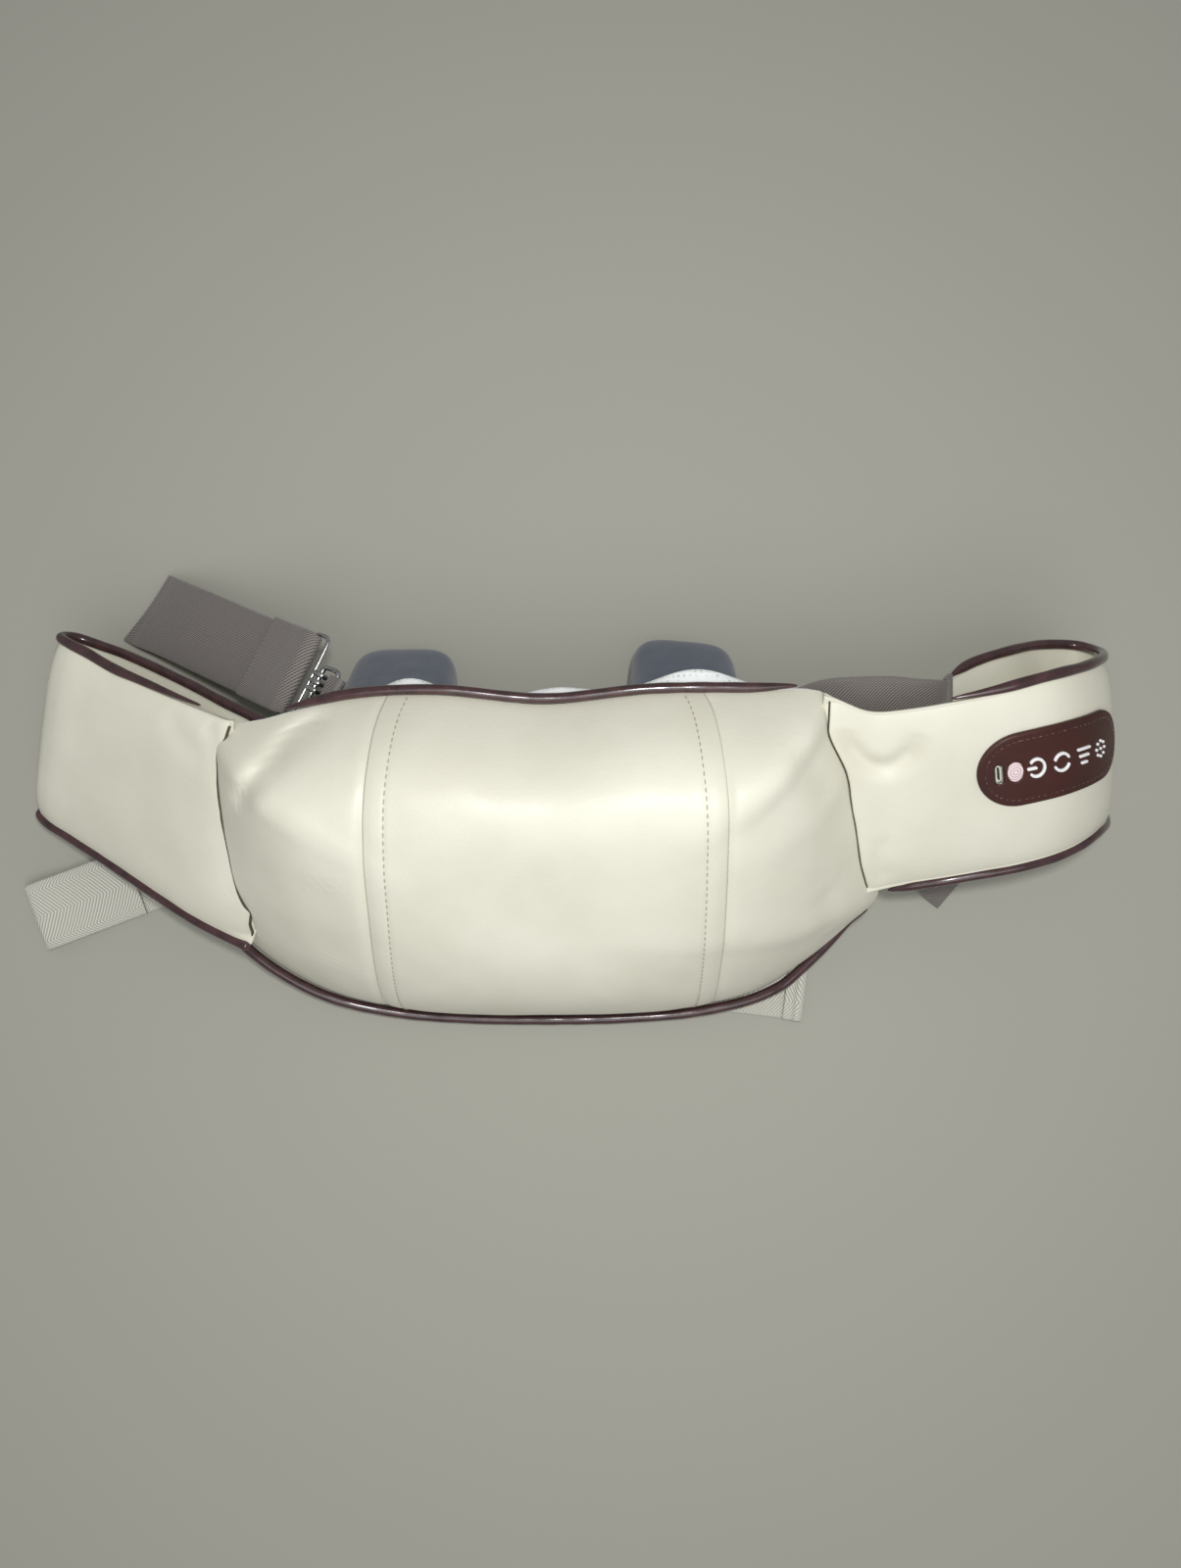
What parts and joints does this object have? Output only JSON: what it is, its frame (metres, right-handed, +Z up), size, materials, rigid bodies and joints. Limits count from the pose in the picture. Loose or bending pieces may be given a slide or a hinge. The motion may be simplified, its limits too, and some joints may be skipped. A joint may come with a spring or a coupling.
{
  "type": "heated massage belt",
  "caption": "Padded waist massage belt with geared rotors of silicone heads at its back, padded hand loops, a button patch and closing straps.",
  "frame": {"origin": "under the middle of the whole belt, on the surface that it lies on", "axes": "+X along the belt towards the loop with the buttons, +Y from the pod's lower edge to its upper edge, +Z up from the surface"},
  "size_m": [0.5314, 0.227, 0.1248],
  "materials": {
    "cream_leather": "soft artificial leather, fine grain",
    "brown_piping": "glossy corded piping",
    "brown_leather": "smooth artificial leather",
    "white_foam": "open-cell foam",
    "pale_mesh": "knitted mesh",
    "black_plastic": "moulded",
    "white_plastic": "moulded, satin",
    "grey_silicone": "matt silicone",
    "grey_elastic": "twill-woven elastic",
    "cream_webbing": "herringbone webbing",
    "steel": "plain",
    "brass": "turned",
    "acetal": "moulded gear plastic",
    "board_green": "solder mask",
    "battery_blue": "shrink sleeve",
    "amber_film": "polyimide film"
  },
  "bodies": {
    "pod": {"centre_front_panel": "cream_leather", "left_front_panel": "cream_leather", "right_front_panel": "cream_leather", "pod_top_piping": "brown_piping", "pod_bottom_piping": "brown_piping", "front_padding": "white_foam", "back_padding": "white_foam", "mesh_back_cover": "pale_mesh", "front_housing": "black_plastic", "rear_plate": "black_plastic", "left_shaft_bearing": "black_plastic", "right_shaft_bearing": "black_plastic", "right_elastic_strap": "grey_elastic", "ring_tab": "grey_elastic", "right_webbing_tab": "cream_webbing", "housing_screw_1": "steel", "housing_screw_2": "steel", "housing_screw_3": "steel", "housing_screw_4": "steel", "drive_motor": "steel", "strap_ring": "steel", "left_rotor_bush": "brass", "right_rotor_bush": "brass", "main_board": "board_green", "battery_pack": "battery_blue", "heating_film": "amber_film"},
    "left_rotor": {"left_worm_wheel": "acetal", "left_output_shaft": "steel", "left_rotor_arm": "black_plastic", "left_tall_head": "grey_silicone", "left_short_head": "grey_silicone"},
    "right_rotor": {"right_worm_wheel": "acetal", "right_output_shaft": "steel", "right_rotor_arm": "black_plastic", "right_tall_head": "grey_silicone", "right_short_head": "grey_silicone"},
    "worm": {"worm_shaft": "steel"},
    "power_button": {"power_key": "white_plastic"},
    "mode_button": {"mode_key": "white_plastic"},
    "level_button": {"level_key": "white_plastic"},
    "heat_button": {"heat_key": "white_plastic"},
    "left_arm": {"left_arm_leather": "cream_leather", "left_arm_padding": "white_foam", "left_arm_lining": "cream_leather", "left_arm_top_piping": "brown_piping", "left_arm_bottom_piping": "brown_piping", "left_webbing_loop": "cream_webbing"},
    "right_arm": {"right_arm_leather": "cream_leather", "right_arm_padding": "white_foam", "right_arm_lining": "cream_leather", "right_arm_top_piping": "brown_piping", "right_arm_bottom_piping": "brown_piping", "usb_c_socket": "steel", "indicator_lens": "white_plastic", "control_patch": "brown_leather", "switch_board": "board_green", "right_strap_tail": "grey_elastic"},
    "left_strap": {"strap_hook": "steel", "left_elastic_strap": "grey_elastic"}
  },
  "joints": [
    {"name": "left_rotor_spin", "type": "hinge", "parent": "pod", "child": "left_rotor", "pos_m": [-0.07243, -0.00728, 0.0628], "axis": [0, -0.5, 0.866], "continuous": true},
    {"name": "right_rotor_spin", "type": "hinge", "parent": "pod", "child": "right_rotor", "pos_m": [0.06457, -0.00728, 0.0628], "axis": [0, -0.5, 0.866], "continuous": true},
    {"name": "worm_spin", "type": "hinge", "parent": "pod", "child": "worm", "pos_m": [-0.00393, -0.03893, 0.06762], "axis": [1, 0, 0], "continuous": true},
    {"name": "left_arm_flex", "type": "hinge", "parent": "pod", "child": "left_arm", "pos_m": [-0.15593, -0.03018, 0.05247], "axis": [0, -0.866, -0.5], "range_deg": [-10, 20]},
    {"name": "right_arm_flex", "type": "hinge", "parent": "pod", "child": "right_arm", "pos_m": [0.14807, -0.03018, 0.05247], "axis": [0, 0.866, 0.5], "range_deg": [-10, 35], "deforming": ["right_elastic_strap"]},
    {"name": "left_strap_swing", "type": "hinge", "parent": "pod", "child": "left_strap", "pos_m": [-0.10458, 0.05466, 0.06979], "axis": [0.438, 0.8955, -0.0792], "range_deg": [0, 18]},
    {"name": "power_key_press", "type": "slide", "parent": "right_arm", "child": "power_button", "axis": [-0.1435, 0.4658, -0.8731], "range_m": [0, 0.0005], "stiffness_N_per_m": 800},
    {"name": "mode_key_press", "type": "slide", "parent": "right_arm", "child": "mode_button", "axis": [-0.3369, 0.4018, -0.8515], "range_m": [0, 0.0005], "stiffness_N_per_m": 800},
    {"name": "level_key_press", "type": "slide", "parent": "right_arm", "child": "level_button", "axis": [-0.5359, 0.3104, -0.7851], "range_m": [0, 0.0005], "stiffness_N_per_m": 800},
    {"name": "heat_key_press", "type": "slide", "parent": "right_arm", "child": "heat_button", "axis": [-0.6805, 0.2218, -0.6984], "range_m": [0, 0.0005], "stiffness_N_per_m": 800}
  ],
  "couplings": [
    {"joint": "right_rotor_spin", "follows": "left_rotor_spin", "ratio": -1},
    {"joint": "worm_spin", "follows": "left_rotor_spin", "ratio": 32}
  ]
}
